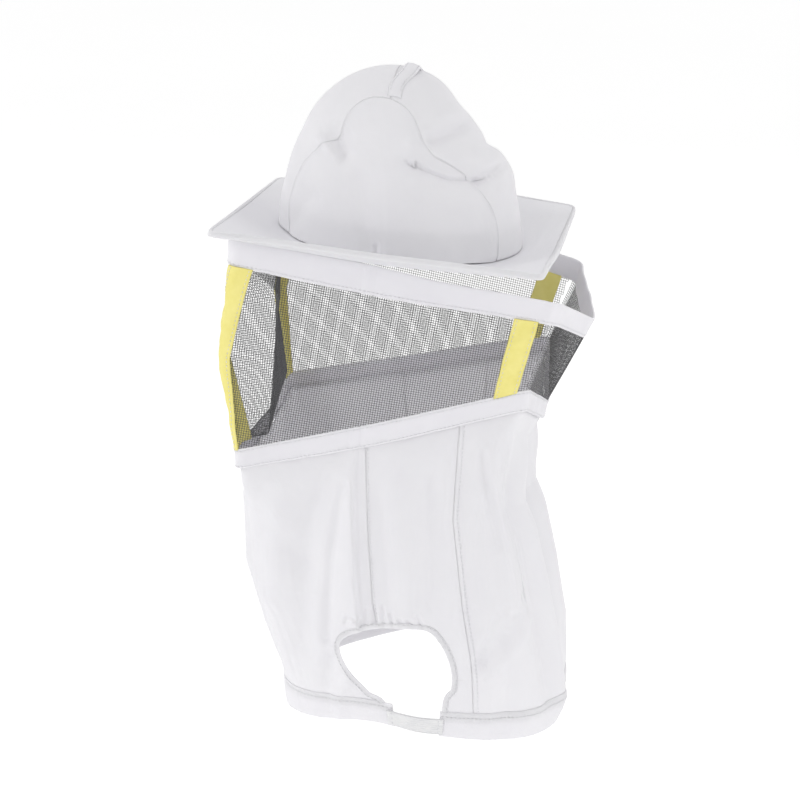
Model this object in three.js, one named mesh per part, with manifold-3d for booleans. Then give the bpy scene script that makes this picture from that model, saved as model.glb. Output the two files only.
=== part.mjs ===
// Beekeeping veil: a soft cotton sun hat on a stiff board brim, a folding ring of wire mesh hung
// from the brim's front edge, and a cotton cape with armholes and elastic straps under it.
// Millimetres, +Z up, the face looks towards -X, and the wearer's left is -Y.
// The origin is the centre of the head opening, in the plane where the crown meets the brim.
import * as THREE from 'three';
import { mergeVertices } from 'three/addons/utils/BufferGeometryUtils.js';
import Module from 'manifold-3d';

const wasm = await Module();
wasm.setup();

// ---- driving dimensions ----
const GAP = 0.3;                       // clearance between pieces that touch
const HAT_TILT = THREE.MathUtils.degToRad(5.5);   // the brim's front edge is carried higher

const HEAD_LENGTH = 198;               // head opening in the brim, front to back
const HEAD_WIDTH = 184;
const BRIM_LENGTH = 272;
const BRIM_WIDTH = 294;
const BRIM_SQUARENESS = 16;            // exponent of the brim's rounded-square outline
const BRIM_THICKNESS = 3;
const BRIM_SIDE_LIFT = 17;             // the board dishes up towards its sides
const BRIM_END_LIFT = 9;
const BINDING_WIDTH = 4.6;
const BINDING_THICKNESS = 1.6;
const BINDING_CLEARANCE = 1.1;         // the board's edge slants, so its lower rim stands out a little

const CROWN_LENGTH = 206;
const CROWN_WIDTH = 192;
const CROWN_HEIGHT = 141;
const CROWN_LEAN = 0.1;                // the crown leans forward by this share of its height
const CLOTH = 1.6;                     // thickness of a cotton panel
const CROWN_STRIP_WIDTH = 80;          // the strip that runs front to back over the top
const CROWN_TAPE_WIDTH = 13;
const CROWN_TOP_GAP = 0.006;           // radians from the middle of the top to a strip's end
const CROWN_SIDE_START = 0.05;         // radians from where a side panel would come to a point
const SWEATBAND_HEIGHT = 26;
const SWEATBAND_THICKNESS = 1.5;

const BAND = 2.4;                      // thickness of the folded cotton bands
const MESH = 0.8;                      // thickness of the wire mesh
const TAPE = 1.2;                      // thickness of the corner tapes
const TAPE_WIDTH = 20;
const TAPE_CLEARANCE = 2.6;            // from the middle of the mesh to the inside of a tape
const CORNER_ROUNDING = 0.07;          // in shares of the distance between two stations

const ARMHOLE_BINDING_WIDTH = 6;
const STRAP_THICKNESS = 1.2;

// ---- the veil's rails ----
// A rail is one level of the veil, given at five stations round its left half: the middle of the
// front, the front corner, the middle of the side, the back corner and the middle of the back.
// The right half mirrors the left, so a whole turn is eight stations.
const TOP_EDGE = 0;
const MESH_TOP = 1;
const MESH_BOTTOM = 3;
const RING_BOTTOM = 4;
const HEM_TOP = 8;
const HEM_BOTTOM = 9;
const TURN = 8;
const FRONT_CORNER = 1;
const BACK_CORNER = 3;
const BACK = 4;
const rails = [
  [[-126, 0, 12], [-122, -121, 18], [12, -110, -5], [147, -96, -28], [168, 0, -66]],
  [[-127, 0, -8], [-123, -121, -1], [10, -110, -27], [142, -95, -47], [159, 0, -83]],
  [[-107, 0, -80], [-135, -119, -80], [6, -107, -80], [131, -92, -76], [144, 0, -112]],
  [[-114, 0, -158], [-122, -117, -160], [-2, -104, -134], [121, -88, -104], [129, 0, -140]],
  [[-116, 0, -176], [-121, -117, -177], [-3, -104, -154], [118, -87, -123], [125, 0, -157]],
  [[-136, 0, -228], [-118, -101, -226], [0, -112, -222], [108, -90, -214], [119, 0, -226]],
  [[-136, 0, -290], [-113, -98, -290], [4, -119, -290], [120, -92, -290], [137, 0, -290]],
  [[-121, 0, -345], [-95, -94, -345], [12, -119, -345], [129, -92, -345], [147, 0, -345]],
  [[-101, 0, -394], [-80, -86, -392], [18, -115, -391], [126, -92, -398], [152, 0, -404]],
  [[-100, 0, -420], [-77, -84, -414], [20, -112, -410], [116, -90, -420], [145, 0, -430]],
];
const CORNER_GAP = 0.0025;             // in shares of the distance between two stations
const RAIL_GAP = 0.035;                // in shares of the distance between two rails

// The front and back seams of the cape's side panels, and the ends of the hems, in stations.
const CAPE_FRONT_SEAM = 1.92;
const CAPE_BACK_SEAM = 2.56;
const FRONT_HEM_END = 1.92;
const BACK_HEM_END = 2.31;
const STRAP_TOP = 8.1;
const STRAP_BOTTOM = 8.85;
const STRAP_GAP = 0.004;               // from a strap's end to the hem it is sewn to

// Armhole outline seen from the side, X and Z, from the front hem up and round to the back hem.
const armholeOutline = [
  [6, -480], [6, -392], [-12, -374], [-30, -354], [-36, -333], [-22, -316], [4, -311],
  [38, -312], [52, -324], [61, -345], [62, -366], [54, -386], [52, -480],
];

// ---- materials ----
const cotton = () => new THREE.MeshStandardMaterial({ color: 0xf2f2f4, roughness: 0.85, metalness: 0 });
const board = () => new THREE.MeshStandardMaterial({ color: 0xf4f4f6, roughness: 0.75, metalness: 0 });
const tape = () => new THREE.MeshStandardMaterial({ color: 0xefe692, roughness: 0.8, metalness: 0 });
const wireMesh = () => new THREE.MeshStandardMaterial({ color: 0x35363a, roughness: 0.5, metalness: 0 });
const elastic = () => new THREE.MeshStandardMaterial({ color: 0xf6f6f6, roughness: 0.7, metalness: 0 });

// ---- helpers ----
const mix = (from, to, share) => from + (to - from) * share;

function named(name, geometry, material) {
  const mesh = new THREE.Mesh(geometry, material);
  mesh.name = name;
  return mesh;
}

function geometryFrom(positions, triangles) {
  const geometry = new THREE.BufferGeometry();
  geometry.setAttribute('position', new THREE.Float32BufferAttribute(positions, 3));
  geometry.setIndex(triangles);
  return geometry;
}

// Turns every triangle round if the closed mesh faces inwards.
function facingOut(positions, triangles) {
  let volume = 0;
  const corner = (index) => new THREE.Vector3().fromArray(positions, 3 * index);
  for (let i = 0; i < triangles.length; i += 3) {
    volume += corner(triangles[i]).dot(corner(triangles[i + 1]).cross(corner(triangles[i + 2])));
  }
  if (volume < 0) {
    for (let i = 0; i < triangles.length; i += 3) {
      [triangles[i], triangles[i + 1]] = [triangles[i + 1], triangles[i]];
    }
  }
  return geometryFrom(positions, triangles);
}

// A closed solid between two offsets of a surface. pointAt takes u and v from 0 to 1; a closed
// sheet joins u = 1 to u = 0, and an open one gets side walls.
function thickSheet(pointAt, stepsU, stepsV, inner, outer, closed = false) {
  const step = 1e-3;
  const columns = closed ? stepsU : stepsU + 1;
  const rows = stepsV + 1;
  const normalAt = (u, v) => {
    const left = closed ? u - step : Math.max(u - step, 0);
    const right = closed ? u + step : Math.min(u + step, 1);
    const along = pointAt(right, v).sub(pointAt(left, v));
    const down = pointAt(u, Math.min(v + step, 1)).sub(pointAt(u, Math.max(v - step, 0)));
    return along.cross(down).normalize();
  };
  const positions = [];
  for (const offset of [inner, outer]) {
    for (let row = 0; row < rows; row += 1) {
      for (let column = 0; column < columns; column += 1) {
        const u = column / stepsU;
        const v = row / stepsV;
        positions.push(...pointAt(u, v).addScaledVector(normalAt(u, v), offset));
      }
    }
  }
  const triangles = [];
  const layer = rows * columns;
  const quad = (a, b, c, d) => triangles.push(a, b, c, a, c, d);
  const at = (row, column) => row * columns + (column % columns);
  const cells = closed ? columns : columns - 1;
  for (let row = 0; row + 1 < rows; row += 1) {
    for (let column = 0; column < cells; column += 1) {
      const [a, b] = [at(row, column), at(row, column + 1)];
      const [c, d] = [at(row + 1, column + 1), at(row + 1, column)];
      quad(a, b, c, d);
      quad(layer + d, layer + c, layer + b, layer + a);
    }
    if (!closed) {
      const [first, firstBelow] = [at(row, 0), at(row + 1, 0)];
      const [last, lastBelow] = [at(row, columns - 1), at(row + 1, columns - 1)];
      quad(first, firstBelow, layer + firstBelow, layer + first);
      quad(lastBelow, last, layer + last, layer + lastBelow);
    }
  }
  for (let column = 0; column < cells; column += 1) {
    const [top, topNext] = [at(0, column), at(0, column + 1)];
    const [low, lowNext] = [at(rows - 1, column), at(rows - 1, column + 1)];
    quad(topNext, top, layer + top, layer + topNext);
    quad(low, lowNext, layer + lowNext, layer + low);
  }
  return facingOut(positions, triangles);
}

function solidOf(geometry) {
  const bare = geometry.clone();
  bare.deleteAttribute('normal');
  bare.deleteAttribute('uv');
  const merged = mergeVertices(bare, 1e-4);
  return new wasm.Manifold(new wasm.Mesh({
    numProp: 3,
    vertProperties: new Float32Array(merged.attributes.position.array),
    triVerts: new Uint32Array(merged.index.array),
  }));
}

function geometryOf(solid) {
  const mesh = solid.getMesh();
  return geometryFrom(Array.from(mesh.vertProperties), Array.from(mesh.triVerts));
}

// A straight-walled block through the whole veil along Y, from an outline in X and Z.
function blockAlongY(outline) {
  const shape = new THREE.Shape(outline.map(([x, z]) => new THREE.Vector2(x, z)));
  const depth = 400;
  const block = new THREE.ExtrudeGeometry(shape, { depth, bevelEnabled: false });
  block.rotateX(Math.PI / 2);
  block.translate(0, depth / 2, 0);
  return solidOf(block);
}

// ---- hat ----
// Everything on the hat is built level, in the hat's own frame, and tilted with its group.
function brimPoint(angle, reach) {
  const [cos, sin] = [Math.cos(angle), Math.sin(angle)];
  const inner = 1 / Math.hypot(cos / (HEAD_LENGTH / 2), sin / (HEAD_WIDTH / 2));
  const across = Math.abs(cos / (BRIM_LENGTH / 2)) ** BRIM_SQUARENESS;
  const along = Math.abs(sin / (BRIM_WIDTH / 2)) ** BRIM_SQUARENESS;
  const outer = (across + along) ** (-1 / BRIM_SQUARENESS);
  const radius = mix(inner, outer, reach);
  const lift = mix(BRIM_END_LIFT, BRIM_SIDE_LIFT, sin * sin) * Math.max(reach, 0) ** 1.5;
  return new THREE.Vector3(radius * cos, radius * sin, lift);
}

function makeBrim() {
  const pointAt = (u, v) => brimPoint(2 * Math.PI * u, v);
  return thickSheet(pointAt, 64, 3, -BRIM_THICKNESS / 2, BRIM_THICKNESS / 2, true);
}

// The folded tape round the brim's edge stands just outside the board.
function makeBrimBinding() {
  const pointAt = (u, v) => {
    const edge = brimPoint(2 * Math.PI * u, 1);
    edge.z += mix(-BINDING_WIDTH / 2, BINDING_WIDTH / 2, v);
    return edge;
  };
  const outwards = pointAt(0.01, 0.5).sub(pointAt(0, 0.5));
  const side = Math.sign(outwards.cross(new THREE.Vector3(0, 0, 1)).x);
  const outer = BINDING_CLEARANCE + BINDING_THICKNESS;
  return thickSheet(pointAt, 64, 1, side * BINDING_CLEARANCE, side * outer, true);
}

function makeSweatband() {
  const [a, b] = [HEAD_LENGTH / 2 - 2, HEAD_WIDTH / 2 - 2];
  const pointAt = (u, v) => {
    const angle = 2 * Math.PI * u;
    const height = mix(-BRIM_THICKNESS / 2, SWEATBAND_HEIGHT, v);
    return new THREE.Vector3(a * Math.cos(angle), b * Math.sin(angle), height);
  };
  return thickSheet(pointAt, 40, 1, -SWEATBAND_THICKNESS / 2, SWEATBAND_THICKNESS / 2, true);
}

// The crown is half an ellipsoid standing on the brim.
const CROWN_BASE = BRIM_THICKNESS / 2 + CLOTH / 2 + GAP;
const stripHalf = CROWN_STRIP_WIDTH / 2;

// Along the centre strip: the angle runs from the base over the top, and y is across the strip.
function crownStripPoint(angle, y) {
  const scale = Math.sqrt(1 - (y / (CROWN_WIDTH / 2)) ** 2);
  const x = scale * (CROWN_LENGTH / 2) * Math.cos(angle);
  const rise = scale * CROWN_HEIGHT * Math.sin(angle);
  return new THREE.Vector3(x - CROWN_LEAN * rise, y, CROWN_BASE + rise);
}

// On a side panel: share 0 is the base and share 1 the seam along the centre strip.
function crownSidePoint(angle, share) {
  const seam = stripHalf + GAP;
  const top = Math.acos(Math.min(seam / (CROWN_WIDTH / 2 * Math.sin(angle)), 1));
  const height = top * share;
  const x = CROWN_LENGTH / 2 * Math.cos(angle) * Math.cos(height);
  const y = CROWN_WIDTH / 2 * Math.sin(angle) * Math.cos(height);
  const rise = CROWN_HEIGHT * Math.sin(height);
  return new THREE.Vector3(x - CROWN_LEAN * rise, y, CROWN_BASE + rise);
}

function makeCrownSide(side) {
  const start = Math.asin((stripHalf + GAP) / (CROWN_WIDTH / 2)) + CROWN_SIDE_START;
  const pointAt = (u, v) => {
    const point = crownSidePoint(mix(start, Math.PI - start, u), v);
    point.y *= side;
    return point;
  };
  return thickSheet(pointAt, 16, 6, -CLOTH / 2, CLOTH / 2);
}

function makeCrownStrip(direction) {
  const pointAt = (u, v) => {
    const climb = mix(0, Math.PI / 2 - CROWN_TOP_GAP, u);
    const angle = direction > 0 ? climb : Math.PI - climb;
    return crownStripPoint(angle, mix(-stripHalf, stripHalf, v));
  };
  return thickSheet(pointAt, 12, 6, -CLOTH / 2, CLOTH / 2);
}

// A short tape covers the seam where the two centre strips meet.
function makeCrownTape() {
  const half = CROWN_TAPE_WIDTH / CROWN_LENGTH;
  const pointAt = (u, v) => {
    return crownStripPoint(Math.PI / 2 + mix(-half, half, u), mix(-stripHalf, stripHalf, v));
  };
  const side = Math.sign(pointAt(1, 0.5).sub(pointAt(0, 0.5)).cross(new THREE.Vector3(0, 1, 0)).z);
  const inner = CLOTH / 2 + 2 * GAP;
  return thickSheet(pointAt, 2, 6, side * inner, side * (inner + CLOTH));
}

// ---- veil ----
function railCorner(rail, station) {
  const wrapped = ((station % TURN) + TURN) % TURN;
  const mirrored = wrapped > BACK;
  const place = mirrored ? TURN - wrapped : wrapped;
  const index = Math.min(Math.floor(place), BACK - 1);
  const from = new THREE.Vector3(...rails[rail][index]);
  const point = from.lerp(new THREE.Vector3(...rails[rail][index + 1]), place - index);
  if (mirrored) {
    point.y *= -1;
  }
  return point;
}

// The rounding of the corners grows from the ring down the cape, where the cloth hangs round.
function veilPoint(station, level) {
  const reach = CORNER_ROUNDING + 0.33 * THREE.MathUtils.smoothstep(level, RING_BOTTOM, RING_BOTTOM + 1.5);
  const rail = Math.min(Math.floor(level), rails.length - 2);
  const samples = 9;
  const point = new THREE.Vector3();
  for (let i = 0; i < samples; i += 1) {
    const place = station + reach * (2 * i / (samples - 1) - 1);
    const above = railCorner(rail, place);
    point.addScaledVector(above.lerp(railCorner(rail + 1, place), level - rail), 1 / samples);
  }
  return point;
}

// A patch of the veil between two stations and two levels, with its offsets measured outwards.
function veilPatch(fromStation, toStation, fromLevel, toLevel, steps, inner, outer) {
  const pointAt = (u, v) => {
    return veilPoint(mix(fromStation, toStation, u), mix(fromLevel, toLevel, v));
  };
  const side = outwardSign(pointAt);
  return thickSheet(pointAt, steps[0], steps[1], side * inner, side * outer);
}

function outwardSign(pointAt) {
  const middle = pointAt(0.5, 0.5);
  const along = pointAt(0.51, 0.5).sub(middle);
  const down = pointAt(0.5, 0.51).sub(middle);
  const axis = new THREE.Vector3(0, 0, middle.z);
  return Math.sign(along.cross(down).dot(middle.clone().sub(axis)));
}

function veilLoop(fromLevel, toLevel, steps, thickness) {
  const pointAt = (u, v) => veilPoint(TURN * u, mix(fromLevel, toLevel, v));
  return thickSheet(pointAt, steps[0], steps[1], -thickness / 2, thickness / 2, true);
}

// The steps are closer together at the corners, where the mesh turns.
function makeMeshPanel(fromStation, toStation) {
  const [from, to] = [fromStation + CORNER_GAP, toStation - CORNER_GAP];
  const pointAt = (u, v) => {
    const eased = 0.5 - 0.5 * Math.cos(Math.PI * u);
    const level = mix(MESH_TOP + RAIL_GAP, MESH_BOTTOM - RAIL_GAP, v);
    return veilPoint(mix(from, to, eased), level);
  };
  return thickSheet(pointAt, 14, 6, -MESH / 2, MESH / 2);
}

// A corner tape lies on the outside of the mesh. Its middle moves from one station at the top to
// another at the bottom, so the front ones wrap from the side panel onto the front panel.
function makeCornerTape(topStation, bottomStation) {
  const stationStep = 0.05;
  const pointAt = (u, v) => {
    const level = mix(MESH_TOP + 2 * RAIL_GAP, MESH_BOTTOM - 2 * RAIL_GAP, v);
    const middle = mix(topStation, bottomStation, v);
    const ahead = veilPoint(middle + stationStep, level);
    const spread = ahead.distanceTo(veilPoint(middle - stationStep, level)) / (2 * stationStep);
    return veilPoint(middle + (u - 0.5) * TAPE_WIDTH / spread, level);
  };
  const side = outwardSign(pointAt);
  return thickSheet(pointAt, 6, 8, side * TAPE_CLEARANCE, side * (TAPE_CLEARANCE + TAPE));
}

// ---- cape ----
const armholeCurve = new THREE.SplineCurve(armholeOutline.map(([x, z]) => new THREE.Vector2(x, z)));

// The armhole outline as a list of points, pushed out of the armhole by a distance.
function armholeLoop(push) {
  const samples = 26;
  const points = [];
  for (let i = 0; i <= samples; i += 1) {
    const place = armholeCurve.getPoint(i / samples);
    const tangent = armholeCurve.getTangent(i / samples);
    points.push([place.x - tangent.y * push, place.y + tangent.x * push]);
  }
  return points;
}

const armholeBlock = blockAlongY(armholeLoop(0));

function makeCapePanel(fromStation, toStation, steps) {
  const [from, to] = [fromStation + CORNER_GAP, toStation - CORNER_GAP];
  const levels = [RING_BOTTOM + RAIL_GAP, HEM_TOP - RAIL_GAP];
  const sheet = veilPatch(from, to, ...levels, steps, -CLOTH / 2, CLOTH / 2);
  return geometryOf(solidOf(sheet).subtract(armholeBlock));
}

// The bias binding lies on the outside of the cape, along the armhole's edge.
function makeArmholeBinding(side) {
  const stations = side < 0 ? [1.3, 2.8] : [TURN - 2.8, TURN - 1.3];
  const inner = CLOTH / 2 + GAP;
  const levels = [6, HEM_TOP - RAIL_GAP];
  const skin = veilPatch(...stations, ...levels, [16, 6], inner, inner + CLOTH);
  const around = blockAlongY(armholeLoop(ARMHOLE_BINDING_WIDTH));
  return geometryOf(solidOf(skin).intersect(around).subtract(armholeBlock));
}

function makeHem(fromStation, toStation) {
  return veilPatch(fromStation, toStation, HEM_TOP, HEM_BOTTOM, [20, 1], -BAND / 2, BAND / 2);
}

function makeStrap(side) {
  const [front, back] = [FRONT_HEM_END + STRAP_GAP, BACK_HEM_END - STRAP_GAP];
  const stations = side < 0 ? [front, back] : [TURN - back, TURN - front];
  const half = STRAP_THICKNESS / 2;
  return veilPatch(...stations, STRAP_TOP, STRAP_BOTTOM, [6, 1], -half, half);
}

// ---- assembly ----
const hat = new THREE.Group();
hat.rotation.y = HAT_TILT;
hat.add(
  named('brim', makeBrim(), board()),
  named('brim_binding', makeBrimBinding(), cotton()),
  named('sweatband', makeSweatband(), cotton()),
  named('crown_strip_front', makeCrownStrip(-1), cotton()),
  named('crown_strip_back', makeCrownStrip(1), cotton()),
  named('crown_side_left', makeCrownSide(-1), cotton()),
  named('crown_side_right', makeCrownSide(1), cotton()),
  named('crown_top_tape', makeCrownTape(), cotton()),
);

const tapeShare = 0.075;               // half a tape's width, in stations
const ring = new THREE.Group();
ring.add(
  named('top_band', veilLoop(TOP_EDGE, MESH_TOP, [96, 1], BAND), cotton()),
  named('mesh_front', makeMeshPanel(-FRONT_CORNER, FRONT_CORNER), wireMesh()),
  named('mesh_left', makeMeshPanel(FRONT_CORNER, BACK_CORNER), wireMesh()),
  named('mesh_back', makeMeshPanel(BACK_CORNER, TURN - BACK_CORNER), wireMesh()),
  named('mesh_right', makeMeshPanel(TURN - BACK_CORNER, TURN - FRONT_CORNER), wireMesh()),
  named('bottom_band', veilLoop(MESH_BOTTOM, RING_BOTTOM, [96, 1], BAND), cotton()),
);
for (const [name, turn] of [['left', 1], ['right', -1]]) {
  const front = makeCornerTape(turn * (FRONT_CORNER + tapeShare), turn * (FRONT_CORNER - tapeShare));
  const backStation = BACK_CORNER - 2.3 * tapeShare;
  const back = makeCornerTape(turn * backStation, turn * backStation);
  ring.add(named(`corner_tape_front_${name}`, front, tape()));
  ring.add(named(`corner_tape_back_${name}`, back, tape()));
}

const cape = new THREE.Group();
cape.add(
  named('cape_front', makeCapePanel(-CAPE_FRONT_SEAM, CAPE_FRONT_SEAM, [22, 8]), cotton()),
  named('cape_back', makeCapePanel(CAPE_BACK_SEAM, TURN - CAPE_BACK_SEAM, [18, 8]), cotton()),
  named('hem_front', makeHem(-FRONT_HEM_END, FRONT_HEM_END), cotton()),
  named('hem_back', makeHem(BACK_HEM_END, TURN - BACK_HEM_END), cotton()),
);
for (const [name, side] of [['left', -1], ['right', 1]]) {
  const seams = side < 0
    ? [CAPE_FRONT_SEAM, CAPE_BACK_SEAM]
    : [TURN - CAPE_BACK_SEAM, TURN - CAPE_FRONT_SEAM];
  cape.add(named(`cape_side_${name}`, makeCapePanel(...seams, [5, 8]), cotton()));
  cape.add(named(`armhole_binding_${name}`, makeArmholeBinding(side), cotton()));
  cape.add(named(`elastic_strap_${name}`, makeStrap(side), elastic()));
}

const veil = new THREE.Group();
veil.add(hat, ring, cape);
export default veil;
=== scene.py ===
import bpy
import numpy as np
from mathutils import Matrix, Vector


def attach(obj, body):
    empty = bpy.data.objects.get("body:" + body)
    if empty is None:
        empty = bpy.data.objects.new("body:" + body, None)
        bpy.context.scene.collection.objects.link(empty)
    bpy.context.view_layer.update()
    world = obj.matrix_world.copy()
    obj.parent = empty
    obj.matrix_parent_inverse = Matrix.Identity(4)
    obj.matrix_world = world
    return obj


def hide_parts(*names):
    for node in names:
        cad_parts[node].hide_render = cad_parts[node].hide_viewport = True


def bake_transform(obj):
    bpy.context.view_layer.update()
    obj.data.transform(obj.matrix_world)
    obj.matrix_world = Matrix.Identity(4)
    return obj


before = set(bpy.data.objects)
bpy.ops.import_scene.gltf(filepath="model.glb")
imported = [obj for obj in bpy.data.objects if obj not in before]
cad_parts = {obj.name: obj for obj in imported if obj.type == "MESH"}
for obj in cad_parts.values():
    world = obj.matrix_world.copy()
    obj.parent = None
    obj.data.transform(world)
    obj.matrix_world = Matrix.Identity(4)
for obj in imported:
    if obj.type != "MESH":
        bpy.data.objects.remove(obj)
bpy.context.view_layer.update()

# ---- driving dimensions ----
HAT_TILT = np.radians(5.5)
HEAD_LENGTH = 0.198
HEAD_WIDTH = 0.184
BRIM_LENGTH = 0.272
BRIM_WIDTH = 0.294
BRIM_SQUARENESS = 36
BRIM_THICKNESS = 0.003
BRIM_SIDE_LIFT = 0.017
BRIM_END_LIFT = 0.009
BRIM_FRONT_LIFT = 0.0104  # at the middle of the front edge, which runs straight
BRIM_FRONT_SLOPE = 0.062  # how fast that edge falls towards the right
# The soft board has warped: up on the left, down on the right, and more so at its corners.
BRIM_LEFT_RISE, BRIM_LEFT_CORNER_RISE = 0.0022, 0.004
BRIM_RIGHT_DROOP, BRIM_RIGHT_CORNER_DROOP, BRIM_FRONT_CORNER_DROOP = 0.001, 0.002, 0.009
BINDING_BULGE, BINDING_HALF, BINDING_WRAP = 0.0011, 0.0026, 0.62 * np.pi
BINDING_THICKNESS = 0.0008

CROWN_LENGTH = 0.206
CROWN_WIDTH = 0.192
CROWN_HEIGHT = 0.141
CROWN_LEAN = 0.1
CROWN_BASE = 0.0026
# Half the width of the crown's centre strip, in mm, by the angle in degrees from its back end.
STRIP_ANGLES = [0, 8, 20, 35, 50, 61, 70, 78, 90, 103, 112, 120, 132, 147, 162, 180]
STRIP_HALVES = [50, 48, 49, 56, 66, 70, 64, 53, 47, 46, 52, 61, 62, 52, 47, 49]
TOP_TAPE_HALF = 0.0065
TOP_TAPE_REACH = 0.0465  # from the middle of the top tape to its end
TOP_TAPE_PEAK = 0.0038
TOP_TAPE_THICKNESS = 0.0016
SWEATBAND_HEIGHT = 0.026
SWEATBAND_THICKNESS = 0.0013
SWEATBAND_GAP = 0.002
SWEATBAND_WAVE = 0.0006
GROOVE_DEPTH, GROOVE_WIDTH = 0.0003, 0.0022  # the dip along a seam of the crown

CLOTH = 0.0009  # thickness of one ply of cotton
BAND = 0.0024
TAPE = 0.0009
TAPE_WIDTH = 0.020
CORNER_ROUNDING, CAPE_ROUNDING = 0.07, 0.33  # in shares of the distance between two stations
ROUNDING_STEPS = 9
WIRE_PITCH = 0.0020
WIRE_RADIUS = 0.00022

STITCH_LENGTH = 0.0026
STITCH_PITCH = 0.0036
STITCH_WIDTH = 0.0007

# The veil's rails, as in the frame: the middle of the front, the front corner, the middle of the
# side, the back corner and the middle of the back. The right half mirrors the left.
TOP_EDGE, MESH_TOP, MESH_BOTTOM, RING_BOTTOM, HEM_TOP, HEM_BOTTOM = 0, 1, 3, 4, 8, 9
TURN, FRONT_CORNER, BACK_CORNER, BACK = 8, 1, 3, 4
RAILS = np.array([
    [[-126, 0, 12], [-122, -121, 18], [12, -110, -5], [147, -96, -28], [168, 0, -66]],
    [[-127, 0, -8], [-123, -121, -1], [10, -110, -27], [142, -95, -47], [159, 0, -83]],
    [[-107, 0, -80], [-135, -119, -80], [6, -107, -80], [131, -92, -76], [144, 0, -112]],
    [[-114, 0, -158], [-122, -117, -160], [-2, -104, -134], [121, -88, -104], [129, 0, -140]],
    [[-116, 0, -176], [-121, -117, -177], [-3, -104, -154], [118, -87, -123], [125, 0, -157]],
    [[-136, 0, -228], [-118, -101, -226], [0, -112, -222], [108, -90, -214], [119, 0, -226]],
    [[-136, 0, -290], [-113, -98, -290], [4, -119, -290], [120, -92, -290], [137, 0, -290]],
    [[-121, 0, -345], [-95, -94, -345], [12, -119, -345], [129, -92, -345], [147, 0, -345]],
    [[-101, 0, -394], [-80, -86, -392], [18, -115, -391], [126, -92, -398], [152, 0, -404]],
    [[-100, 0, -420], [-77, -84, -414], [20, -112, -410], [116, -90, -420], [145, 0, -430]],
]) / 1000
# Where the soft veil hangs a little unevenly: the place, how far it has moved, and the reach.
SLUMPS = (
    (np.array([0.147, 0.096, -0.035]), np.array([0.0, -0.004, -0.010]), 0.060),
    (np.array([-0.122, 0.121, 0.018]), np.array([0.0, 0.0, -0.0075]), 0.060),
    (np.array([0.020, 0.115, -0.420]), np.array([0.0, 0.0, 0.013]), 0.070),
    (np.array([0.130, -0.050, -0.415]), np.array([0.008, 0.0, 0.001]), 0.055),
    (np.array([-0.092, -0.060, -0.410]), np.array([-0.009, 0.0, 0.005]), 0.038),
    (np.array([-0.012, -0.105, -0.420]), np.array([0.0, 0.0, 0.008]), 0.045),
)
CAPE_FRONT_SEAM, CAPE_BACK_SEAM = 1.92, 2.56
FRONT_HEM_END, BACK_HEM_END = 1.92, 2.31
STRAP_TOP, STRAP_BOTTOM = 8.1, 8.85

CAPE_SWELL = 0.0016  # height of the cape's broad waves
CAPE_TUCK = 0.0024  # how far its top edge goes in behind the ring's bottom band
BACK_TUCK = 0.007  # how much further the top of its back is drawn in
ARMHOLE_TAPE_WIDTH, ARMHOLE_TAPE_HALF = 0.0052, 0.0006
HEM_HALF, HEM_LIFT = 0.0007, 0.0003
STRAP_THICKNESS, STRAP_SAG, STRAP_OUT = 0.0012, 0.0008, 0.0022

# Armhole outline seen from the side, X and Z, from the front hem up and round to the back hem.
ARMHOLE = np.array([
    [6, -480], [6, -392], [-12, -374], [-30, -354], [-36, -333], [-24, -320], [2, -312],
    [38, -312], [52, -324], [61, -345], [62, -366], [54, -386], [52, -480],
]) / 1000


# ---- materials ----
WAVE_SCALE = 0.314  # scale of a wave texture times the pitch of its ridges
RIB_PITCH = 0.0016  # of the elastic


def new_material(name, color, roughness, sheen=0.0):
    """A material and its shader."""
    material = bpy.data.materials.new(name)
    material.use_nodes = True
    shader = material.node_tree.nodes["Principled BSDF"]
    shader.inputs["Base Color"].default_value = (*color, 1)
    shader.inputs["Roughness"].default_value = roughness
    shader.inputs["Sheen Weight"].default_value = sheen
    shader.inputs["Sheen Roughness"].default_value = 0.4
    shader.inputs["Specular IOR Level"].default_value = 0.25
    return material, shader


def let_light_through(shader, weight):
    """Thin cotton glows a little where light stands behind it."""
    shader.inputs["Subsurface Weight"].default_value = weight
    shader.inputs["Subsurface Radius"].default_value = (1.0, 0.98, 1.0)
    shader.inputs["Subsurface Scale"].default_value = 0.004


def add_node(material, kind, **values):
    """Adds a node; each value goes to the input of that name, or else to the setting of that name."""
    node = material.node_tree.nodes.new(kind)
    for name, value in values.items():
        if name in node.inputs.keys():
            node.inputs[name].default_value = value
        else:
            setattr(node, name, value)
    return node


def link(material, source, target):
    """Joins an output to an input."""
    material.node_tree.links.new(source, target)


def vary_color(material, shader, low, high, scale):
    """The colour drifts between two close shades."""
    places = add_node(material, "ShaderNodeTexCoord")
    noise = add_node(material, "ShaderNodeTexNoise", Scale=scale, Detail=3.0, Roughness=0.6)
    ramp = add_node(material, "ShaderNodeValToRGB")
    ramp.color_ramp.elements[0].position = 0.3
    ramp.color_ramp.elements[0].color = (*low, 1)
    ramp.color_ramp.elements[1].position = 0.7
    ramp.color_ramp.elements[1].color = (*high, 1)
    link(material, places.outputs["UV"], noise.inputs["Vector"])
    link(material, noise.outputs["Fac"], ramp.inputs["Fac"])
    link(material, ramp.outputs["Color"], shader.inputs["Base Color"])


def bump_chain(material, shader, layers):
    """Adds bump layers, each (texture output, distance in metres, strength), one on another."""
    previous = None
    for height, distance, strength in layers:
        bump = add_node(material, "ShaderNodeBump", Distance=distance, Strength=strength)
        link(material, height, bump.inputs["Height"])
        if previous is not None:
            link(material, previous.outputs["Normal"], bump.inputs["Normal"])
        previous = bump
    link(material, previous.outputs["Normal"], shader.inputs["Normal"])


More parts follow.
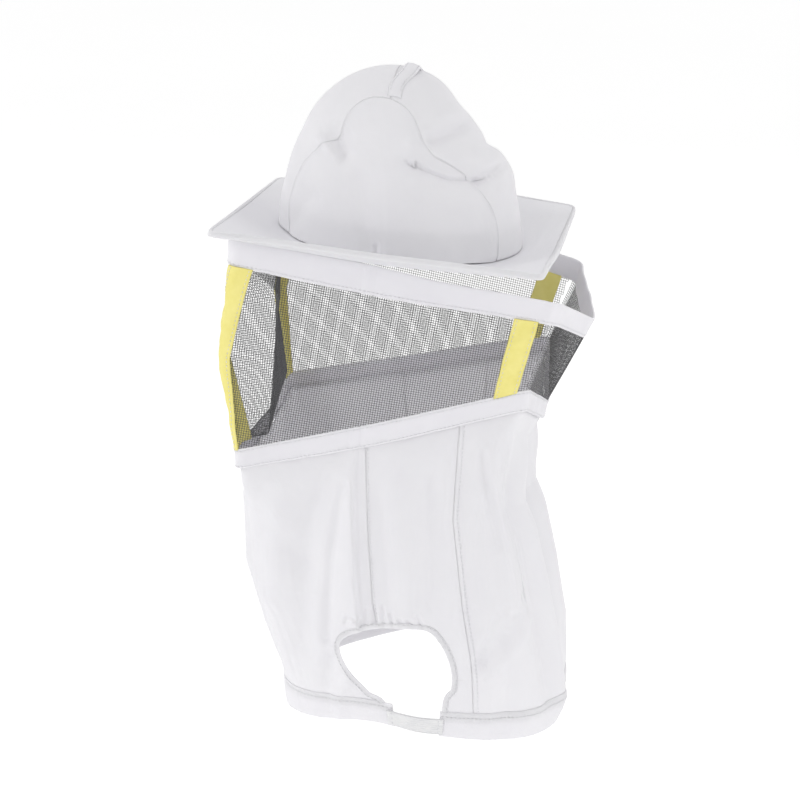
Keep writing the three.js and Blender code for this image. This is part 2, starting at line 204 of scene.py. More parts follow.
def weave_height(material, pitch_across, pitch_along):
    """Threads crossing each other: the higher of two sets of ridges, one along each UV axis."""
    places = add_node(material, "ShaderNodeTexCoord")
    ridges = []
    for direction, pitch in (("X", pitch_across), ("Y", pitch_along)):
        wave = add_node(
            material, "ShaderNodeTexWave", wave_type="BANDS", bands_direction=direction,
            Scale=WAVE_SCALE / pitch, Distortion=0.35, Detail=1.0,
        )
        link(material, places.outputs["UV"], wave.inputs["Vector"])
        ridges.append(wave)
    higher = add_node(material, "ShaderNodeMath", operation="MAXIMUM")
    link(material, ridges[0].outputs["Fac"], higher.inputs[0])
    link(material, ridges[1].outputs["Fac"], higher.inputs[1])
    return higher.outputs["Value"]


def noise_height(material, scale):
    """Uneven height, as in crumpled cloth."""
    places = add_node(material, "ShaderNodeTexCoord")
    noise = add_node(material, "ShaderNodeTexNoise", Scale=scale, Detail=4.0, Roughness=0.55)
    link(material, places.outputs["UV"], noise.inputs["Vector"])
    return noise.outputs["Fac"]


def make_cotton(name, light, dark, crumple):
    """White cotton; crumple is the height of its small dents."""
    material, shader = new_material(name, light, 0.88, 0.12)
    let_light_through(shader, 0.5)
    vary_color(material, shader, dark, light, 14.0)
    bump_chain(material, shader, [
        (noise_height(material, 26.0), crumple, 0.6),
        (noise_height(material, 120.0), 0.0004, 0.35),
        (weave_height(material, 0.00050, 0.00056), 0.00010, 0.5),
    ])
    return material


def make_board():
    """The smoother cloth over the brim's board."""
    material, shader = new_material("brim_board", (0.80, 0.795, 0.82), 0.7, 0.06)
    vary_color(material, shader, (0.775, 0.77, 0.80), (0.81, 0.805, 0.83), 9.0)
    bump_chain(material, shader, [
        (noise_height(material, 12.0), 0.0012, 0.35),
        (weave_height(material, 0.00042, 0.00042), 0.00006, 0.45),
    ])
    return material


def make_tape_material():
    """Yellow tape with a diagonal twill."""
    material, shader = new_material("yellow_tape", (0.86, 0.78, 0.27), 0.75, 0.1)
    vary_color(material, shader, (0.80, 0.72, 0.22), (0.88, 0.80, 0.30), 40.0)
    places = add_node(material, "ShaderNodeTexCoord")
    twill = add_node(
        material, "ShaderNodeTexWave", wave_type="BANDS", bands_direction="DIAGONAL",
        Scale=380.0, Distortion=0.4, Detail=1.0,
    )
    link(material, places.outputs["UV"], twill.inputs["Vector"])
    bump_chain(material, shader, [
        (noise_height(material, 60.0), 0.0005, 0.4),
        (twill.outputs["Fac"], 0.00012, 0.6),
    ])
    return material


def make_elastic():
    """Ribbed elastic webbing."""
    material, shader = new_material("elastic", (0.86, 0.86, 0.87), 0.7, 0.1)
    vary_color(material, shader, (0.80, 0.80, 0.82), (0.88, 0.88, 0.88), 90.0)
    places = add_node(material, "ShaderNodeTexCoord")
    ribs = add_node(
        material, "ShaderNodeTexWave", wave_type="BANDS", bands_direction="Y",
        Scale=WAVE_SCALE / RIB_PITCH, Distortion=0.1, Detail=0.0,
    )
    link(material, places.outputs["UV"], ribs.inputs["Vector"])
    bump_chain(material, shader, [
        (ribs.outputs["Fac"], 0.0005, 0.8),
        (weave_height(material, 0.0007, 0.0009), 0.0001, 0.5),
    ])
    return material


def make_wire():
    """Dark coated wire."""
    material, shader = new_material("wire_mesh", (0.10, 0.10, 0.105), 0.42)
    vary_color(material, shader, (0.08, 0.08, 0.085), (0.13, 0.13, 0.135), 30.0)
    bump_chain(material, shader, [(noise_height(material, 300.0), 0.00004, 0.4)])
    shader.inputs["Coat Weight"].default_value = 0.2
    shader.inputs["Coat Roughness"].default_value = 0.35
    return material


cotton = make_cotton("cotton", (0.805, 0.795, 0.825), (0.775, 0.765, 0.80), 0.0018)
band_cotton = make_cotton("band_cotton", (0.80, 0.79, 0.82), (0.77, 0.76, 0.795), 0.0010)
thread = make_cotton("thread", (0.79, 0.785, 0.81), (0.75, 0.745, 0.78), 0.0001)
board = make_board()
yellow = make_tape_material()
elastic = make_elastic()
wire = make_wire()


# ---- meshes ----
def smoothstep(value, low, high):
    """Rises smoothly from 0 at low to 1 at high."""
    share = np.clip((value - low) / (high - low), 0, 1)
    return share * share * (3 - 2 * share)


def normals_of(points, closed=False):
    """Unit normals of a grid of points, rows by columns."""
    if closed:
        wide = np.concatenate([points[:, -1:], points, points[:, :1]], axis=1)
        along = wide[:, 2:] - wide[:, :-2]
    else:
        along = np.gradient(points, axis=1)
    down = np.gradient(points, axis=0)
    normals = np.cross(along, down)
    length = np.linalg.norm(normals, axis=-1, keepdims=True)
    return normals / np.maximum(length, 1e-12)


def grid_faces(rows, columns, closed=False):
    """Four-sided faces of a grid; closed joins the last column to the first."""
    index = np.arange(rows * columns).reshape(rows, columns)
    right = np.roll(index, -1, axis=1) if closed else index[:, 1:]
    left = index if closed else index[:, :-1]
    return np.stack([left[:-1], right[:-1], right[1:], left[1:]], axis=-1).reshape(-1, 4)


def lengths_uv(points):
    """UVs in metres: distance along the rows and down the columns."""
    across = np.linalg.norm(np.diff(points, axis=1), axis=-1)
    down = np.linalg.norm(np.diff(points, axis=0), axis=-1)
    u = np.concatenate([np.zeros((len(points), 1)), np.cumsum(across, axis=1)], axis=1)
    v = np.concatenate([np.zeros((1, points.shape[1])), np.cumsum(down, axis=0)], axis=0)
    u = u - u[:, u.shape[1] // 2][:, None]
    return np.stack([u, v], axis=-1)


def make_object(name, vertices, faces, uvs, materials, face_materials=None):
    """A smooth mesh object from arrays; uvs has one pair for each vertex."""
    mesh = bpy.data.meshes.new(name)
    mesh.from_pydata(vertices.tolist(), [], [list(map(int, face)) for face in faces])
    layer = mesh.uv_layers.new(name="UVMap")
    corners = np.empty(len(mesh.loops), dtype=np.int64)
    mesh.loops.foreach_get("vertex_index", corners)
    layer.data.foreach_set("uv", uvs[corners].astype(np.float32).ravel())
    for material in materials:
        mesh.materials.append(material)
    if face_materials is not None:
        mesh.polygons.foreach_set("material_index", np.asarray(face_materials, dtype=np.int32))
    mesh.polygons.foreach_set("use_smooth", np.full(len(mesh.polygons), True))
    mesh.update()
    obj = bpy.data.objects.new(name, mesh)
    bpy.context.scene.collection.objects.link(obj)
    return obj


def normalized(vectors):
    """The vectors at length 1."""
    return vectors / np.linalg.norm(vectors, axis=-1, keepdims=True)


def points_from(x, y, z):
    """Points from their coordinates, which are broadcast together."""
    return np.stack(np.broadcast_arrays(x, y, z), axis=-1)


def looped(path):
    """A path with its first point again at the end."""
    return np.concatenate([path, path[:1]])


def points_at(path, travelled, places):
    """Points or normals of a path at distances along it."""
    return np.stack([np.interp(places, travelled, path[:, axis]) for axis in range(3)], axis=-1)


def swept_faces(points, normals, outer_row):
    """Faces of a closed profile swept along a line, with both ends capped. The normals tell which
    way the profile's outer row faces."""
    rows, columns = points.shape[:2]
    index = np.arange(rows * columns).reshape(rows, columns)
    wrap = np.roll(index, -1, axis=0)
    quads = np.stack([index[:, :-1], index[:, 1:], wrap[:, 1:], wrap[:, :-1]], axis=-1).reshape(-1, 4)
    ends = [[index[:, 0]], [index[::-1, -1]]]
    if (normals_of(points)[outer_row] * normals).sum() < 0:
        quads = quads[:, ::-1]
        ends = [[end[0][::-1]] for end in ends]
    return [quads, *ends]


# One stitch: a tip, two rings of four points and a tip, and the faces between them.
STITCH_FACES = [
    [0, 2, 1], [0, 3, 2], [0, 4, 3], [0, 1, 4],
    [1, 2, 6, 5], [2, 3, 7, 6], [3, 4, 8, 7], [4, 1, 5, 8],
    [9, 5, 6], [9, 6, 7], [9, 7, 8], [9, 8, 5],
]
STITCH_POINTS = 10


class Build:
    """Collects parts of one piece: shells of cloth and rows of stitches."""

    def __init__(self, name, materials):
        self.name = name
        self.materials = materials
        self.vertices, self.faces, self.uvs, self.slots = [], [], [], []
        self.count = 0

    def add(self, vertices, faces, uvs, material=0):
        """Adds points and groups of faces; each group is an array of rows of point numbers."""
        self.vertices.append(vertices.reshape(-1, 3))
        self.uvs.append(uvs.reshape(-1, 2))
        for group in faces:
            group = np.asarray(group) + self.count
            self.faces.extend(group.tolist())
            self.slots.extend([material] * len(group))
        self.count += len(vertices.reshape(-1, 3))

    def shell(self, points, thickness, outward=1, closed=False, shift=0.0, keep=None):
        """A ply of cloth: the outer side lies shift above the points, the inner thickness below."""
        rows, columns = points.shape[:2]
        normals = outward * normals_of(points, closed)
        outer = points + normals * shift
        inner = points + normals * (shift - thickness)
        uv = lengths_uv(points)
        total = rows * columns
        front = grid_faces(rows, columns, closed)
        if keep is not None:
            front = front[keep.ravel()[front].any(axis=1)]
        if outward < 0:
            front = front[:, ::-1]
        rim = open_edges(front)
        walls = np.stack([rim[:, 1], rim[:, 0], rim[:, 0] + total, rim[:, 1] + total], axis=-1)
        faces = [front, front[:, ::-1] + total, walls]
        self.add(np.concatenate([outer, inner]), faces, np.concatenate([uv, uv]))

    def stitches(self, path, normals, lift=0.0003):
        """A row of thread stitches along a path, each a small bead lying on the cloth."""
        steps = np.linalg.norm(np.diff(path, axis=0), axis=1)
        travelled = np.concatenate([[0], np.cumsum(steps)])
        count = int(travelled[-1] // STITCH_PITCH)
        if count < 1:
            return
        starts = (np.arange(count) + 0.2) * travelled[-1] / count
        facing = normalized(points_at(normals, travelled, starts))
        head = points_at(path, travelled, starts)
        tail = points_at(path, travelled, starts + STITCH_LENGTH)
        ahead = (tail - head) / np.maximum(np.linalg.norm(tail - head, axis=1, keepdims=True), 1e-9)
        side = np.cross(facing, ahead)
        half = STITCH_WIDTH / 2
        sunk = facing * (lift - half)
        rings = []
        for share in (0.25, 0.75):
            middle = head + (tail - head) * share + facing * lift
            for turn in range(4):
                angle = np.pi / 2 * turn + np.pi / 4
                rings.append(middle + half * (np.cos(angle) * side + np.sin(angle) * facing))
        vertices = np.stack([head + sunk, *rings, tail + sunk], axis=1)
        first = STITCH_POINTS * np.arange(count)[:, None]
        faces = [first + np.array(face)[None, :] for face in STITCH_FACES]
        self.add(vertices, faces, vertices[..., :2], material=len(self.materials) - 1)

    def finish(self):
        """The piece as one mesh object."""
        return make_object(
            self.name, np.concatenate(self.vertices), self.faces, np.concatenate(self.uvs),
            self.materials, self.slots,
        )


def open_edges(faces):
    """Directed edges that only one face uses."""
    edges = np.concatenate([np.stack([faces[:, i], faces[:, (i + 1) % 4]], axis=-1) for i in range(4)])
    keys = np.sort(edges, axis=1)
    order = keys[:, 0].astype(np.int64) * (faces.max() + 1) + keys[:, 1]
    _, first, counts = np.unique(order, return_index=True, return_counts=True)
    return edges[first[counts == 1]]


# ---- folds ----
FOLD_SCALE = 1.25


def fold_height(places, folds):
    """Sums folds over 2-D places. A fold is (path, width, height, step): a soft ridge along a path,
    in millimetres; a negative height is a valley. A step falls off sharply right of its path."""
    spots = places.reshape(-1, 2) * 1000
    total = np.zeros(len(spots))
    for path, width, height, step in folds:
        path = np.array(path, dtype=float)
        nearest = np.full(len(spots), 1e9)
        reach = np.full(len(spots), 1e9)
        for start, end in zip(path[:-1], path[1:]):
            along = end - start
            share = np.clip(((spots - start) @ along) / max(along @ along, 1e-9), 0, 1)
            away = spots - start - share[:, None] * along
            distance = np.linalg.norm(away, axis=1)
            right = along[0] * away[:, 1] - along[1] * away[:, 0] < 0
            scaled = distance / np.where(right & step, 0.12 * width, width)
            reach = np.where(distance < nearest, scaled, reach)
            nearest = np.minimum(nearest, distance)
        total += height * np.exp(-reach * reach)
    return total.reshape(places.shape[:-1]) / 1000 * FOLD_SCALE


# ---- hat ----
def tilt(points):
    """From the hat's own level frame to the object's."""
    cos, sin = np.cos(HAT_TILT), np.sin(HAT_TILT)
    x, y, z = points[..., 0], points[..., 1], points[..., 2]
    return np.stack([x * cos + z * sin, y, -x * sin + z * cos], axis=-1)


# Folds of the crown, on its side seen along Y: X and Z in the hat's frame, in millimetres.
CROWN_PROFILE = [
    ([(46, 122), (72, 96)], 22, -6.0, False),
    ([(76, 84), (88, 66)], 12, 2.5, False),
    ([(-92, 45), (-84, 78)], 18, -2.5, False),
]
CROWN_NEAR_FOLDS = [
    ([(-50, 92), (-44, 84)], 9, -5.5, False),
    ([(-66, 86), (-50, 78)], 6, 2.6, False),
    ([(26, 99), (35, 104), (50, 112)], 6, -4.0, False),
    ([(68, 70), (45, 71), (18, 80)], 9, -3.4, True),
    ([(68, 70), (78, 73), (92, 83)], 4.2, -3.8, False),
    ([(12, 92), (40, 86), (62, 86)], 8, 2.6, False),
    ([(26, 112), (44, 122), (56, 122)], 8, 2.6, False),
    ([(-29, 67), (-20, 40), (-12, 12)], 9, -1.6, False),
    ([(-8, 70), (0, 40), (4, 10)], 10, 1.4, False),
    ([(-6, 13), (-4, 3)], 2.5, -1.8, False),
    ([(-70, 40), (-84, 18), (-90, 6)], 9, -2.4, False),
    ([(50, 40), (62, 22), (66, 8)], 10, -1.4, False),
    ([(80, 50), (84, 30), (84, 8)], 5, 1.6, False),
]
CROWN_FAR_FOLDS = [
    ([(-40, 100), (-20, 88), (4, 84)], 8, -4.5, False),
    ([(-60, 70), (-40, 60), (-30, 48)], 7, -3.0, False),
    ([(30, 100), (52, 92), (70, 88)], 6, -3.4, False),
    ([(20, 70), (24, 40), (20, 12)], 10, -1.8, False),
    ([(-10, 60), (-16, 34), (-14, 8)], 9, 1.6, False),
    ([(60, 60), (74, 34), (80, 8)], 8, -2.2, False),
    ([(-80, 40), (-86, 20), (-88, 6)], 8, -1.6, False),
]


def strip_half(angle):
    """The seams run in waves, because the soft crown has slumped between them."""
    total = 0
    for offset in (-4, -2, 0, 2, 4):
        total = total + np.interp(np.degrees(angle) + offset, STRIP_ANGLES, STRIP_HALVES)
    return total / 5 / 1000


def crown_points(unit):
    """From points on the unit half sphere to the creased crown, in the hat's frame."""
    rise = CROWN_HEIGHT * unit[..., 2]
    shape = np.stack([
        CROWN_LENGTH / 2 * unit[..., 0] - CROWN_LEAN * rise,
        CROWN_WIDTH / 2 * unit[..., 1],
        CROWN_BASE + rise,
    ], axis=-1)
    side = shape[..., [0, 2]]
    near = smoothstep(-shape[..., 1], -0.010, 0.030)
    height = near * fold_height(side, CROWN_NEAR_FOLDS)
    height = height + (1 - near) * fold_height(side, CROWN_FAR_FOLDS)
    height = height + fold_height(side, CROWN_PROFILE)
    return shape + unit * height[..., None]


def crown_seam(angle, side):
    """The unit point on the seam of the centre strip; the angle runs from the back base to the front."""
    y = strip_half(angle) / (CROWN_WIDTH / 2)
    scale = np.sqrt(1 - y * y)
    return points_from(scale * np.cos(angle), side * y, scale * np.sin(angle))


def arc(start, end, shares):
    """Great arcs between unit points: shares run along axis 0, the points along axis 1."""
    angle = np.arccos(np.clip((start * end).sum(-1), -1, 1))[None, :, None]
    share = shares[:, None, None]
    path = (np.sin((1 - share) * angle) * start[None] + np.sin(share * angle) * end[None])
    return path / np.maximum(np.sin(angle), 1e-9)


def seam_groove(points, normals):
    """Pulls the last rows of a grid in, where a seam holds them down."""
    rows = points.shape[0]
    share = np.linspace(0, 1, rows)
    step = np.linalg.norm(points[-1] - points[0], axis=-1).mean()
    near_end = np.exp(-((1 - share) * step / GROOVE_WIDTH) ** 2)
    return points - normals * (GROOVE_DEPTH * near_end)[:, None, None]


def make_crown_side(name, side):
    """A side panel of the crown, from its base up to the seam of the centre strip."""
    angles = np.linspace(0.0, np.pi, 170)
    seam = crown_seam(angles, side)
    edge = np.arcsin(strip_half(0.0) / (CROWN_WIDTH / 2))
    around = edge + (np.pi - 2 * edge) * angles / np.pi
    base = points_from(np.cos(around), side * np.sin(around), 0.0)
    unit = arc(base, seam, np.linspace(0, 1, 90))
    points = crown_points(unit)
    outward = -side
    normals = outward * normals_of(points)
    rows = tilt(seam_groove(points, normals))
    build = Build(name, [cotton, thread])
    build.shell(rows, CLOTH, outward)
    facing = outward * normals_of(rows)
    build.stitches(rows[3], facing[3], lift=0.0001)
    return build.finish()


def make_crown_strip(name, front):
    """Half of the centre strip: from the top to the front, or to the back."""
    angles = np.linspace(np.pi / 2, np.pi if front else 0, 110)
    left, right = crown_seam(angles, -1), crown_seam(angles, 1)
    unit = arc(left, right, np.linspace(0, 1, 80)).transpose(1, 0, 2)
    points = crown_points(unit)
    outward = -1 if front else 1
    normals = outward * normals_of(points)
    across = np.linspace(-1, 1, 80) * 0.042
    groove = GROOVE_DEPTH * np.exp(-((0.042 - np.abs(across)) / GROOVE_WIDTH) ** 2)
    points = points - normals * groove[None, :, None]
    rows = tilt(points)
    facing = outward * normals_of(rows)
    build = Build(name, [cotton, thread])
    build.shell(rows, CLOTH, outward)
    for column in (4, -5):
        build.stitches(rows[4:, column], facing[4:, column], lift=0.0001)
    build.stitches(rows[-4], facing[-4], lift=0.0001)
    return build.finish()


def make_crown_tape():
    """The seam tape over the top, which stands up as a small peak at its middle."""
    widths = np.linspace(-1, 1, 15)
    across = np.linspace(-TOP_TAPE_REACH, TOP_TAPE_REACH, 70)
    lean = 0.03 + 0.08 * smoothstep(across, -0.04, -0.005)
    angle = np.pi / 2 - lean[:, None] - widths[None, :] * TOP_TAPE_HALF / (CROWN_LENGTH / 2)
    y = across[:, None] / (CROWN_WIDTH / 2)
    scale = np.sqrt(1 - y * y)
    unit = points_from(scale * np.cos(angle), y, scale * np.sin(angle))
    points = crown_points(unit)
    peak = TOP_TAPE_PEAK * np.exp(-((across + 0.004) / 0.011) ** 2)
    crown = 0.0012 * (1 - widths ** 2)
    points[..., 2] += 0.0014 + peak[:, None] * (0.75 + 0.25 * (1 - widths[None, :] ** 2)) + crown[None, :]
    rows = tilt(points)
    facing = normals_of(rows)
    outward = np.sign(facing[35, 7, 2])
    build = Build("crown_top_tape_cloth", [cotton, thread])
    build.shell(rows, TOP_TAPE_THICKNESS, outward)
    for column in (2, -3):
        build.stitches(rows[4:-4, column], outward * facing[4:-4, column])
    return build.finish()


def brim_points(angle, reach):
    """The board's middle surface: reach runs from 0 at the head opening to 1 at the edge."""
    cos, sin = np.cos(angle), np.sin(angle)
    inner = 1 / np.hypot(cos / (HEAD_LENGTH / 2), sin / (HEAD_WIDTH / 2))
    square = np.abs(cos / (BRIM_LENGTH / 2)) ** BRIM_SQUARENESS
    square = square + np.abs(sin / (BRIM_WIDTH / 2)) ** BRIM_SQUARENESS
    outer = square ** (-1 / BRIM_SQUARENESS)
    radius = inner + (outer - inner) * reach
    lift = BRIM_END_LIFT + (BRIM_SIDE_LIFT - BRIM_END_LIFT) * sin * sin
    rise = lift * np.maximum(reach, 0) ** 1.5
    corner = (2 * sin * cos) ** 2
    near, far = smoothstep(-sin, 0, 0.6), smoothstep(sin, 0, 0.6)
    front_corner_droop = BRIM_FRONT_CORNER_DROOP * smoothstep(-cos, 0, 0.6)
    droop = BRIM_RIGHT_DROOP + corner * (BRIM_RIGHT_CORNER_DROOP + front_corner_droop)
    warp = near * (BRIM_LEFT_RISE + BRIM_LEFT_CORNER_RISE * corner) - far * droop
    rise = rise + warp * np.maximum(reach, 0) ** 2
    front = smoothstep(-cos, 0.58, 0.68)
    slope = BRIM_FRONT_LIFT - BRIM_FRONT_SLOPE * outer * sin
    rise = rise * (1 - front) + front * slope * np.maximum(reach, 0) ** 1.6
    return np.stack([radius * cos, radius * sin, rise], axis=-1)


def make_brim():
    """The board, from just inside the head opening out to the edge."""
    angles = np.linspace(0, 2 * np.pi, 720, endpoint=False)[None, :]
    reach = np.linspace(-0.04, 1, 32)[:, None]
    points = brim_points(angles, reach)
    build = Build("brim_board_cloth", [board])
    rows = tilt(points)
    facing = normals_of(rows, closed=True)
    outward = np.sign(facing[20, 0, 2])
    build.shell(rows, BRIM_THICKNESS, outward, closed=True, shift=BRIM_THICKNESS / 2)
    return build.finish()


def make_brim_binding():
    """Tape folded round the brim's edge: a rounded profile swept along it."""
    angles = np.linspace(0, 2 * np.pi, 840, endpoint=False)
    edge = brim_points(angles, 1.0)
    inside = brim_points(angles, 0.9)
    out = normalized(edge - inside)
    up = normalized(np.array([0, 0, 1.0])[None, :] - out * out[:, 2:3])
    turn = np.linspace(-BINDING_WRAP, BINDING_WRAP, 15)
    reach = np.cos(turn) * BINDING_BULGE
    height = np.sin(turn) * BINDING_HALF - 0.0009
    points = edge[None] + reach[:, None, None] * out[None] + height[:, None, None] * up[None]
    flap = BINDING_HALF * smoothstep(np.abs(turn), 0.45 * np.pi, BINDING_WRAP)
    points -= flap[:, None, None] * out[None]
    rows = tilt(points)
    outward = 1
    if (normals_of(rows, True)[7] * tilt(out)).sum() < 0:
        outward = -1
    build = Build("brim_binding_tape", [band_cotton])
    build.shell(rows, BINDING_THICKNESS, outward, closed=True)
    return build.finish()


def make_sweatband():
    """A band inside the head opening, a little wavy."""
    angles = np.linspace(0, 2 * np.pi, 240, endpoint=False)[None, :]
    height = np.linspace(-0.0015, SWEATBAND_HEIGHT, 24)[:, None]
    gap = SWEATBAND_WAVE * np.sin(9 * angles + 60 * height) - SWEATBAND_GAP
    a, b = HEAD_LENGTH / 2 + gap, HEAD_WIDTH / 2 + gap
    points = points_from(a * np.cos(angles), b * np.sin(angles), height)
    rows = tilt(points)
    facing = normals_of(rows, True)
    inward = -np.sign((facing[5] * rows[5]).sum())
    build = Build("sweatband_cotton", [band_cotton, thread])
    build.shell(rows, SWEATBAND_THICKNESS, inward, closed=True, shift=0.0006)
    for row in (3, -4):
        build.stitches(looped(rows[row]), inward * looped(facing[row]), lift=0.0007)
    return build.finish()


# ---- the veil's surface ----
def rail_corner(rail, station):
    """Points on a rail with sharp corners; a whole station is a middle or a corner."""
    wrapped = np.mod(station, TURN)
    mirrored = wrapped > BACK
    place = np.where(mirrored, TURN - wrapped, wrapped)
    index = np.minimum(np.floor(place).astype(int), BACK - 1)
    share = (place - index)[..., None]
    point = RAILS[rail, index] * (1 - share) + RAILS[rail, index + 1] * share
    point[..., 1] = np.where(mirrored, -point[..., 1], point[..., 1])
    return point


def veil_points(station, level):
    """Points on the veil: stations run round it from the middle of the front, levels run down it.
    Corners are rounded, and more so below the ring."""
    station, level = np.broadcast_arrays(np.asarray(station, float), np.asarray(level, float))
    reach = CORNER_ROUNDING + CAPE_ROUNDING * smoothstep(level, RING_BOTTOM, RING_BOTTOM + 1.5)
    rail = np.clip(np.floor(level).astype(int), 0, len(RAILS) - 2)
    share = (level - rail)[..., None]
    point = 0
    for offset in np.linspace(-1, 1, ROUNDING_STEPS):
        place = station + reach * offset
        above, below = rail_corner(rail, place), rail_corner(rail + 1, place)
        point = point + (above * (1 - share) + below * share) / ROUNDING_STEPS
    hung = point.copy()
    for place, shift, reach in SLUMPS:
        away = np.linalg.norm(point - place, axis=-1, keepdims=True)
        hung += shift * np.exp(-(away / reach) ** 2)
    return hung


def outward_sign(points, closed=False):
    """Which way a grid's normals face, from the veil's axis."""
    normals = normals_of(points, closed)
    return np.sign((normals[..., :2] * points[..., :2]).sum())


# The front panel is pushed in: at each height it runs straight from the near corner to a crease,
# and from there straight to the far corner.
PANEL_EDGE = 0.985  # the station where the front panel meets its corner tape
CREASE_STATION = 0.58
CREASE_TOP = np.array([-0.088, -0.066])
CREASE_LOW = np.array([-0.097, -0.095])


def mesh_surface(station, level):
    """The veil's surface with the front panel pushed in."""
    station, level = np.broadcast_arrays(np.asarray(station, float), np.asarray(level, float))
    points = veil_points(station, level)
    turned = np.mod(station + TURN / 2, TURN) - TURN / 2
    share = ((level - MESH_TOP) / (MESH_BOTTOM - MESH_TOP))[..., None]
    crease = CREASE_TOP + (CREASE_LOW - CREASE_TOP) * share
    near = veil_points(np.full(station.shape, PANEL_EDGE), level)[..., :2]
    far = veil_points(np.full(station.shape, -PANEL_EDGE), level)[..., :2]
    to_near = ((turned - CREASE_STATION) / (PANEL_EDGE - CREASE_STATION))[..., None]
    to_far = ((CREASE_STATION - turned) / (CREASE_STATION + PANEL_EDGE))[..., None]
    bent = np.where(to_near > 0, crease + (near - crease) * to_near, crease + (far - crease) * to_far)
    weight = smoothstep(level, MESH_TOP, MESH_TOP + 0.5) * (1 - smoothstep(level, 2.9, MESH_BOTTOM))
    weight = weight * (1 - smoothstep(np.abs(turned), 0.95, PANEL_EDGE))
    moved = points.copy()
    moved[..., :2] += (bent - points[..., :2]) * weight[..., None]
    return moved


# ---- woven wire ----
def tube_net(lines, normals, valid, swing):
    """Three-sided tubes along many wires at once. lines is wires by points; swing moves each point
    over or under the wire it crosses."""
    ahead = np.gradient(lines, axis=1)
    ahead /= np.maximum(np.linalg.norm(ahead, axis=-1, keepdims=True), 1e-12)
    side = np.cross(ahead, normals)
    side /= np.maximum(np.linalg.norm(side, axis=-1, keepdims=True), 1e-12)
    middle = lines + normals * swing[..., None]
    ring = []
    for turn in range(3):
        angle = np.pi / 2 + 2 * np.pi / 3 * turn
        ring.append(middle + WIRE_RADIUS * (np.cos(angle) * side + np.sin(angle) * normals))
    vertices = np.stack(ring, axis=2)
    wires, count = lines.shape[:2]
    index = np.arange(wires * count * 3).reshape(wires, count, 3)
    after = np.roll(index, -1, axis=2)
    quads = np.stack([index[:, :-1], index[:, 1:], after[:, 1:], after[:, :-1]], axis=-1)
    both = valid[:, :-1] & valid[:, 1:]
    quads = quads[both].reshape(-1, 4)
    return vertices.reshape(-1, 3), quads


def join_nets(name, nets):
    """One object from the nets, without the points that no face uses."""
    vertices, faces, count = [], [], 0
    for points, quads in nets:
        used = np.unique(quads)
        renumber = np.zeros(len(points), dtype=np.int64)
        renumber[used] = np.arange(len(used)) + count
        vertices.append(points[used])
        faces.append(renumber[quads])
        count += len(used)
    vertices = np.concatenate(vertices)
    uvs = vertices[:, [0, 2]] + vertices[:, [1, 1]]
    return make_object(name, vertices, np.concatenate(faces), uvs, [wire])


def weave(name, points, normals, valid):
    """Wires along the rows and the columns of a grid, over and under each other by turns."""
    rows, columns = np.indices(valid.shape)
    lift = WIRE_RADIUS * 0.95 * np.where((rows + columns) % 2 == 0, 1.0, -1.0)
    across = tube_net(points, normals, valid, lift)
    down = tube_net(points.transpose(1, 0, 2), normals.transpose(1, 0, 2), valid.T, -lift.T)
    return join_nets(name, [across, down])


def make_even_mesh(name, from_station, to_station):
    """Wires that follow the panel's own edges, as on the front and the back."""
    corners = veil_points(np.array([from_station, to_station]), 2.0)
    columns = int(np.linalg.norm(corners[1] - corners[0]) / WIRE_PITCH)
    heights = veil_points((from_station + to_station) / 2, np.array([MESH_TOP, MESH_BOTTOM]))
    rows = int(np.linalg.norm(heights[1] - heights[0]) / WIRE_PITCH)
    stations = np.linspace(from_station, to_station, columns + 1)
    levels = np.linspace(MESH_TOP - 0.08, MESH_BOTTOM + 0.08, rows + 1)
    points = mesh_surface(stations[None, :], levels[:, None])
    return weave(name, points, normals_of(points), np.ones(points.shape[:2], dtype=bool))


def make_grained_mesh(name, side):
    """The side panels are wedges cut from straight mesh: the rows run along the top band, and the
    bottom band cuts across them."""
    stations = np.linspace(FRONT_CORNER, BACK_CORNER, 260)
    levels = np.linspace(MESH_TOP - 0.1, MESH_BOTTOM + 0.1, 90)
    surface = veil_points(stations[None, :], levels[:, None])
    top = veil_points(np.array([1.1, 2.9]), MESH_TOP)
    along = (top[1] - top[0])[[0, 2]]
    along /= np.linalg.norm(along)
    down = np.array([along[1], -along[0]])
    flat = surface[..., [0, 2]] - top[0][[0, 2]]
    a, b, y = flat @ along, flat @ down, surface[..., 1]
    grid_a = np.arange(a.min(), a.max(), WIRE_PITCH)
    grid_b = np.arange(b.min(), b.max(), WIRE_PITCH)
    row_b = np.stack([np.interp(grid_a, a[i], b[i], np.nan, np.nan) for i in range(len(levels))])
    row_y = np.stack([np.interp(grid_a, a[i], y[i], np.nan, np.nan) for i in range(len(levels))])
    depth = np.full((len(grid_b), len(grid_a)), np.nan)
    for column in range(len(grid_a)):
        inside = ~np.isnan(row_b[:, column])
        if inside.sum() > 1:
            found_b, found_y = row_b[inside, column], row_y[inside, column]
            depth[:, column] = np.interp(grid_b, found_b, found_y, np.nan, np.nan)
    valid = ~np.isnan(depth)
    place = top[0][[0, 2]] + grid_b[:, None, None] * down + grid_a[None, :, None] * along
    filled = np.where(valid, depth, np.nanmean(depth))
    points = np.stack([place[..., 0], filled, place[..., 1]], axis=-1)
    normals = normals_of(points)
    normals = np.where(valid[..., None], normals, 0.0)
    if side > 0:
        points[..., 1] *= -1
        normals[..., 1] *= -1
    return weave(name, points, normals, valid)


# ---- bands ----
def band_profile(steps):
    """A flattened loop: shares down the band, and shares of its thickness."""
    turn = np.linspace(0, 2 * np.pi, steps, endpoint=False)
    down = 0.5 - 0.5 * np.sign(np.cos(turn)) * np.abs(np.cos(turn)) ** 0.35
    thick = np.sign(np.sin(turn)) * np.abs(np.sin(turn)) ** 0.5
    return down, thick


